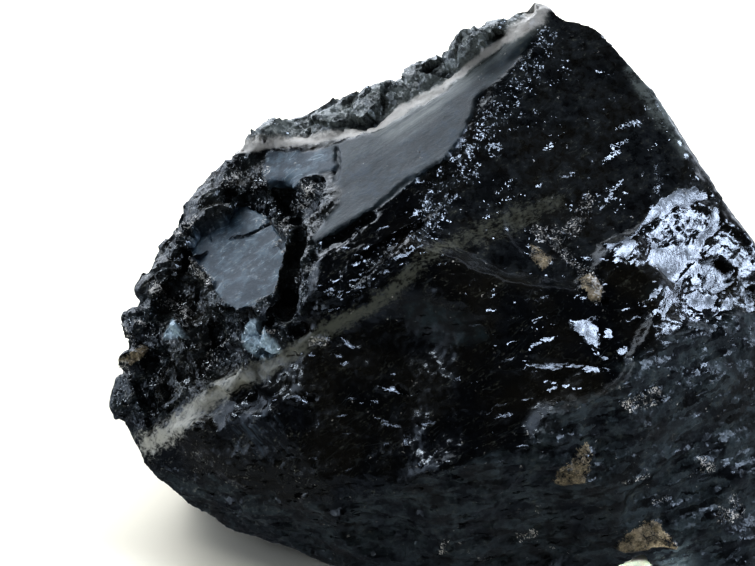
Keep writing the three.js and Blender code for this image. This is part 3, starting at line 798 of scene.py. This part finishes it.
# The crest's crushed grey, and the same grey along the rim as painted rim light.
share = node(tree, "ShaderNodeMath", {0: both_dice, 1: 0.8, 2: mottled}, operation="MULTIPLY_ADD")
share = node(tree, "ShaderNodeMath", {0: zone["crest"], 1: share}, operation="MULTIPLY", use_clamp=True)
colour = node(tree, "ShaderNodeMix", {0: share, 6: colour, 7: linear(CREST_GREY_AND_RIM_LIGHT)}, out=2, data_type="RGBA")
streaky = node(tree, "ShaderNodeMapRange", {"Value": striae, "From Min": 0.35, "From Max": 0.7})
slate = node(
    tree, "ShaderNodeMix", {0: streaky, 6: linear(SLATE), 7: linear(STREAK)}, out=2, data_type="RGBA"
)
share = node(tree, "ShaderNodeMath", {0: mottled, 1: smoky}, operation="MULTIPLY")
slate = node(tree, "ShaderNodeMix", {0: share, 6: slate, 7: linear(BLUE_SLATE)}, out=2, data_type="RGBA")
share = node(
    tree, "ShaderNodeMapRange", {"Value": mottle, "From Min": 0.58, "From Max": 0.36, "To Max": 0.75}
)
slate = node(tree, "ShaderNodeMix", {0: share, 6: slate, 7: linear(BLACK)}, out=2, data_type="RGBA")
colour = node(tree, "ShaderNodeMix", {0: zone["satin"], 6: colour, 7: slate}, out=2, data_type="RGBA")
slate = node(
    tree,
    "ShaderNodeMix",
    {0: mottled, 6: linear(BLUE_SLATE), 7: linear(BLUE_CLOUD)},
    out=2,
    data_type="RGBA",
)
share = node(tree, "ShaderNodeMath", {0: scratches, 1: 0.35}, operation="MULTIPLY")
slate = node(tree, "ShaderNodeMix", {0: share, 6: slate, 7: linear(SCRATCH)}, out=2, data_type="RGBA")
colour = node(tree, "ShaderNodeMix", {0: zone["blue"], 6: colour, 7: slate}, out=2, data_type="RGBA")
# Glassy crystals: a pale blue-grey that is partly their own colour and partly painted reflection, standing
# in for the light their faces catch.
colour = node(
    tree, "ShaderNodeMix", {0: zone["glassy"], 6: colour, 7: linear(GLASSY_PALE_AND_SHEEN)}, out=2, data_type="RGBA"
)
share = node(tree, "ShaderNodeMapRange", {"Value": striae, "From Min": 0.3, "From Max": 0.6})
share = node(tree, "ShaderNodeMath", {0: share, 1: zone["vein_haze"]}, operation="MULTIPLY")
colour = node(tree, "ShaderNodeMix", {0: share, 6: colour, 7: linear(HAZE)}, out=2, data_type="RGBA")
milk = node(tree, "ShaderNodeMath", {0: mottle, 1: 1.2, 2: zone["white_vein"]}, operation="MULTIPLY_ADD")
milk = node(tree, "ShaderNodeMath", {0: rough_edge, 1: 0.8, 2: milk}, operation="MULTIPLY_ADD")
milk = node(
    tree,
    "ShaderNodeMapRange",
    {"Value": milk, "From Min": 0.8, "From Max": 1.7},
    interpolation_type="SMOOTHSTEP",
)
colour = node(tree, "ShaderNodeMix", {0: milk, 6: colour, 7: linear(VEIN_WHITE)}, out=2, data_type="RGBA")
# The pale vein goes from grey on the left to olive, in veinlets that are drawn out 5 times along it.
along = node(tree, "ShaderNodeMapRange", {"Value": zone["across"], "From Min": -44.0, "From Max": -12.0})
vein = node(
    tree, "ShaderNodeMix", {0: along, 6: linear(VEIN_GREY), 7: linear(VEIN_OLIVE)}, out=2, data_type="RGBA"
)
veinlets = node(
    tree,
    "ShaderNodeMapping",
    {"Vector": place, "Rotation": VEIN_TURN, "Scale": (5, 1, 1)},
    vector_type="TEXTURE",
)
veinlets = node(
    tree, "ShaderNodeTexNoise", {"Vector": veinlets, "Scale": 1.6, "Detail": 6.0, "Roughness": 0.7}
)
cloudy = node(tree, "ShaderNodeMath", {0: mottle, 1: 1.4, 2: zone["pale_vein"]}, operation="MULTIPLY_ADD")
cloudy = node(tree, "ShaderNodeMath", {0: rough_edge, 1: 1.6, 2: cloudy}, operation="MULTIPLY_ADD")
cloudy = node(tree, "ShaderNodeMath", {0: veinlets, 1: 2.0, 2: cloudy}, operation="MULTIPLY_ADD")
cloudy = node(
    tree,
    "ShaderNodeMapRange",
    {"Value": cloudy, "From Min": 1.8, "From Max": 2.8},
    interpolation_type="SMOOTHSTEP",
)
colour = node(tree, "ShaderNodeMix", {0: cloudy, 6: colour, 7: vein}, out=2, data_type="RGBA")

# What lies on it: each kind of debris, how much of its zone it covers, and its darkest and lightest grains.
matt = node(tree, "ShaderNodeMath", {0: milk, 1: cloudy}, operation="MAXIMUM")
stained = node(tree, "ShaderNodeMix", {0: 0.6, 2: other_dice, 3: mottled})
for name, cover, dark, light in (
    ("tan_crystals", 1.3, TAN, STAINED),
    ("tan_crumbs", 0.45, TAN, POWDER),
    ("crumbs", 0.5, CRUSHED, POWDER),
):
    share = node(tree, "ShaderNodeMath", {0: zone[name], 1: cover_share}, operation="MULTIPLY")
    share = node(tree, "ShaderNodeMath", {0: share, 1: cover, 2: both_dice}, operation="MULTIPLY_ADD")
    share = node(tree, "ShaderNodeMapRange", {"Value": share, "From Min": 0.96, "From Max": 1.04})
    grit = node(
        tree, "ShaderNodeMix", {0: stained, 6: linear(dark), 7: linear(light)}, out=2, data_type="RGBA"
    )
    colour = node(tree, "ShaderNodeMix", {0: share, 6: colour, 7: grit}, out=2, data_type="RGBA")
    matt = node(tree, "ShaderNodeMath", {0: matt, 1: share}, operation="MAXIMUM")

# Each facet leans its own way. The glossy breaks and a share of the small facets lean so that they mirror
# the window, and on the flank the lamp on the left, because the crest hides the window from it.
PULL = 9  # how far they lean that way, against 1 for the skin's own normal
upright = node(tree, "ShaderNodeNewGeometry", out="Normal")
lean = node(tree, "ShaderNodeVectorMath", {0: fine_cells, 1: cells}, operation="ADD")
lean = node(tree, "ShaderNodeVectorMath", {0: lean, 1: (-1.0, -1.0, -1.0)}, operation="ADD")
lean = node(tree, "ShaderNodeVectorMath", {0: lean, "Scale": zone["leaning"]}, operation="SCALE")
facets = node(tree, "ShaderNodeVectorMath", {0: upright, 1: lean}, operation="ADD")
lean = node(tree, "ShaderNodeVectorMath", {0: long_cells, 1: (-0.5, -0.5, -0.5)}, operation="ADD")
sheen = node(tree, "ShaderNodeMath", {0: zone["satin"], 1: zone["blue"]}, operation="MAXIMUM")
amount = node(tree, "ShaderNodeMath", {0: sheen, 1: -0.15, 2: 0.15}, operation="MULTIPLY_ADD")
amount = node(tree, "ShaderNodeMath", {0: zone["lower"], 1: 0.35, 2: amount}, operation="MULTIPLY_ADD")
lean = node(tree, "ShaderNodeVectorMath", {0: lean, "Scale": amount}, operation="SCALE")
facets = node(tree, "ShaderNodeVectorMath", {0: facets, 1: lean}, operation="ADD")
chance = node(tree, "ShaderNodeMix", {0: zone["swirl"], 2: both_dice, 3: shard_dice})
chance = node(tree, "ShaderNodeMix", {0: zone["slivers"], 2: chance, 3: sliver_dice})
chance = node(tree, "ShaderNodeMath", {0: zone["gleams"], 1: 0.17, 2: chance}, operation="MULTIPLY_ADD")
chance = node(tree, "ShaderNodeMapRange", {"Value": chance, "From Min": 0.98, "From Max": 1.02})
shining = node(tree, "ShaderNodeMath", {0: rough_edge, 1: 1.5, 2: zone["glossy"]}, operation="MULTIPLY_ADD")
shining = node(tree, "ShaderNodeMapRange", {"Value": shining, "From Min": 0.3, "From Max": 0.5})
shining = node(tree, "ShaderNodeMath", {0: shining, 1: chance}, operation="MAXIMUM")
shining = node(tree, "ShaderNodeMath", {0: shining, 1: sheets}, operation="MAXIMUM")
lines = node(tree, "ShaderNodeMath", {0: scratches, 1: zone["swirl"]}, operation="MULTIPLY")
shining = node(tree, "ShaderNodeMath", {0: shining, 1: lines}, operation="SUBTRACT", use_clamp=True)
sway = node(tree, "ShaderNodeVectorMath", {0: ripples, 1: (-0.5, -0.5, -0.5)}, operation="ADD")
pull = node(
    tree,
    "ShaderNodeMix",
    {0: zone["flank"], 4: [PULL * way for way in GLOSSY_WAY], 5: [PULL * way for way in FLANK_WAY]},
    out=1,
    data_type="VECTOR",
)
sway = node(tree, "ShaderNodeVectorMath", {0: sway, 1: (1.6, 1.6, 1.6), 2: pull}, operation="MULTIPLY_ADD")
sway = node(tree, "ShaderNodeVectorMath", {0: sway, "Scale": shining}, operation="SCALE")
facets = node(tree, "ShaderNodeVectorMath", {0: facets, 1: sway}, operation="ADD")
facets = node(tree, "ShaderNodeVectorMath", {0: facets}, operation="NORMALIZE")
uneven = node(tree, "ShaderNodeMath", {0: sheen, 1: -0.7, 2: 1.0}, operation="MULTIPLY_ADD")
bumpy = node(
    tree, "ShaderNodeBump", {"Strength": uneven, "Distance": 0.00004, "Height": grain, "Normal": facets}
)
bumpy = node(
    tree,
    "ShaderNodeBump",
    {"Strength": zone["satin"], "Distance": 0.00006, "Height": striae, "Normal": bumpy},
)
bumpy = node(
    tree, "ShaderNodeBump", {"Strength": sheen, "Distance": 0.0002, "Height": mottle, "Normal": bumpy}
)
# Roughness: glassy breaks, satin faces, matt milk and powder, and glints from all glass to a little etched.
glint_rough = node(
    tree,
    "ShaderNodeMapRange",
    {"Value": mottle, "From Min": 0.42, "From Max": 0.62, "To Min": 0.1, "To Max": 0.4},
)
rough = node(
    tree,
    "ShaderNodeMapRange",
    {"Value": wide, "From Min": 0.35, "From Max": 0.65, "To Min": 0.1, "To Max": 0.22},
)
rough = node(tree, "ShaderNodeMath", {0: sheen, 1: 0.26, 2: rough}, operation="MULTIPLY_ADD")
rough = node(tree, "ShaderNodeMath", {0: zone["dull"], 1: 0.25, 2: rough}, operation="MULTIPLY_ADD")
rough = node(tree, "ShaderNodeMath", {0: zone["lower"], 1: 0.22, 2: rough}, operation="MULTIPLY_ADD")
rough = node(tree, "ShaderNodeMath", {0: matt, 1: 0.35, 2: rough}, operation="MULTIPLY_ADD")
rough = node(tree, "ShaderNodeMix", {0: shining, 2: rough, 3: glint_rough})
surface = node(
    tree,
    "ShaderNodeBsdfPrincipled",
    {
        "Base Color": colour,
        "Roughness": rough,
        "IOR": QUARTZ_IOR,
        "Specular Tint": linear(GLASS_SHINE),
        "Normal": bumpy,
    },
)
node(tree, "ShaderNodeOutputMaterial", {"Surface": surface})

lump.data.materials.clear()
lump.data.materials.append(morion)
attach(lump, "root")
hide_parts("morion_quartz")

# ---- the table and the light -----------------------------------------------------------------------------
# A plain white table, a bright window on the right, a small lamp on the left that shows only as glints, a
# soft box behind on the left, a pale ceiling that whitens the table, and a dim room.

TABLE_WHITE = "#f6f3e6"
TABLE_SIDE = 6  # metres
DAYLIGHT = "#ecf2ff"
ROOM_LIGHT = "#eef4ff"
bpy.ops.object.select_all(action="DESELECT")
bpy.ops.mesh.primitive_plane_add(size=TABLE_SIDE)
table = bpy.context.object
table.name = "table"
# Matt white board: chalky pigment, which takes soft shadows and has no shine.
matt_board = bpy.data.materials.new("matt_white_board")
matt_board.use_nodes = True
matt_board.node_tree.nodes["Principled BSDF"].inputs["Base Color"].default_value = linear(TABLE_WHITE)
matt_board.node_tree.nodes["Principled BSDF"].inputs["Roughness"].default_value = 0.9
table.data.materials.append(matt_board)
table.visible_glossy = False  # the lump mirrors the low part of the room in its stead, which is dimmer


def light(name, direction, away, size, strength):
    """A flat soft box that faces the lump from a direction. Its strength is the brightness of its face."""
    bpy.ops.object.light_add(type="AREA", location=AIM + Vector(direction).normalized() * away)
    lamp = bpy.context.object
    lamp.name = name
    lamp.rotation_euler = Vector(direction).to_track_quat("Z", "Y").to_euler()
    lamp.data.shape = "RECTANGLE"
    lamp.data.size, lamp.data.size_y = size
    lamp.data.energy = strength * math.pi * size[0] * size[1]
    return lamp


window = light("window", WINDOW_WAY, 1.2, (0.32, 0.32), 20)
window.data.color = linear(DAYLIGHT)[:3]
left_lamp = light("left_lamp", LEFT_LAMP_WAY, 1.2, (0.11, 0.11), 45)
left_lamp.visible_diffuse = False  # it lights nothing but shows in what the facets mirror
light("back_left_box", (-0.5, 0.6, 0.62), 1.4, (1.1, 0.9), 1.6)
ceiling = light("ceiling", (-0.3, 0.9, 1), 1.6, (1.8, 1.8), 1.9)
ceiling.visible_glossy = False

# A small card near the foot shines light on the table under its arch, in a narrow beam.
ARCH_FOOT = Vector((27.6, -38, 0)) * MM
CARD_AWAY = 0.1
CARD_BEAM = math.radians(9)
card_way = Vector((0.3, -0.85, 0.42)).normalized()
card = light("arch_card", card_way, CARD_AWAY, (0.006, 0.006), 4.7)
card.location = ARCH_FOOT + card_way * CARD_AWAY
card.data.spread = CARD_BEAM
card.visible_glossy = False

# The room is dark in front and overhead, with dim shapes in it, and pale low down behind the lump. Its low
# half stands for the table in what the lump mirrors.
PALE_SIDE = (-0.5, 0.87, 0)  # the way from the lump to the pale part of the room
room = bpy.data.worlds.new("room")
room.use_nodes = True
room_tree = room.node_tree
way = node(room_tree, "ShaderNodeTexCoord", out="Generated")
height = node(room_tree, "ShaderNodeSeparateXYZ", {"Vector": way}, out="Z")
behind = node(
    room_tree, "ShaderNodeVectorMath", {0: way, 1: PALE_SIDE}, out=1, operation="DOT_PRODUCT"
)
behind = node(room_tree, "ShaderNodeMapRange", {"Value": behind, "From Min": -0.2, "From Max": 0.4})
low_down = node(room_tree, "ShaderNodeMapRange", {"Value": height, "From Min": 0.75, "From Max": 0.4})
pale = node(room_tree, "ShaderNodeMath", {0: behind, 1: low_down}, operation="MULTIPLY")
shapes = node(room_tree, "ShaderNodeTexNoise", {"Vector": way, "Scale": 3.0, "Detail": 3.0})
dim = node(
    room_tree,
    "ShaderNodeMapRange",
    {"Value": shapes, "From Min": 0.45, "From Max": 0.7, "To Min": 0.01, "To Max": 0.2},
)
glow = node(room_tree, "ShaderNodeMath", {0: pale, 1: 1.6, 2: dim}, operation="MULTIPLY_ADD")
side = node(room_tree, "ShaderNodeSeparateXYZ", {"Vector": way}, out="X")
low_glow = node(
    room_tree,
    "ShaderNodeMapRange",
    {"Value": side, "From Min": -0.5, "From Max": 0.4, "To Min": 0.25, "To Max": 0.45},
)
low_glow = node(room_tree, "ShaderNodeMath", {0: shapes, 1: 1.8, 2: low_glow}, operation="MULTIPLY_ADD")
low_glow = node(room_tree, "ShaderNodeMath", {0: low_glow, 1: 0.95}, operation="SUBTRACT", use_clamp=True)
below = node(room_tree, "ShaderNodeMapRange", {"Value": height, "From Min": 0.02, "From Max": -0.1})
glow = node(room_tree, "ShaderNodeMix", {0: below, 2: glow, 3: low_glow})
room_tree.links.new(glow, room_tree.nodes["Background"].inputs["Strength"])
room_tree.nodes["Background"].inputs["Color"].default_value = linear(ROOM_LIGHT)
bpy.context.scene.world = room
bpy.context.scene.view_settings.view_transform = "Standard"
bpy.context.scene.view_settings.look = "High Contrast"
bpy.context.scene.view_settings.exposure = 0.25
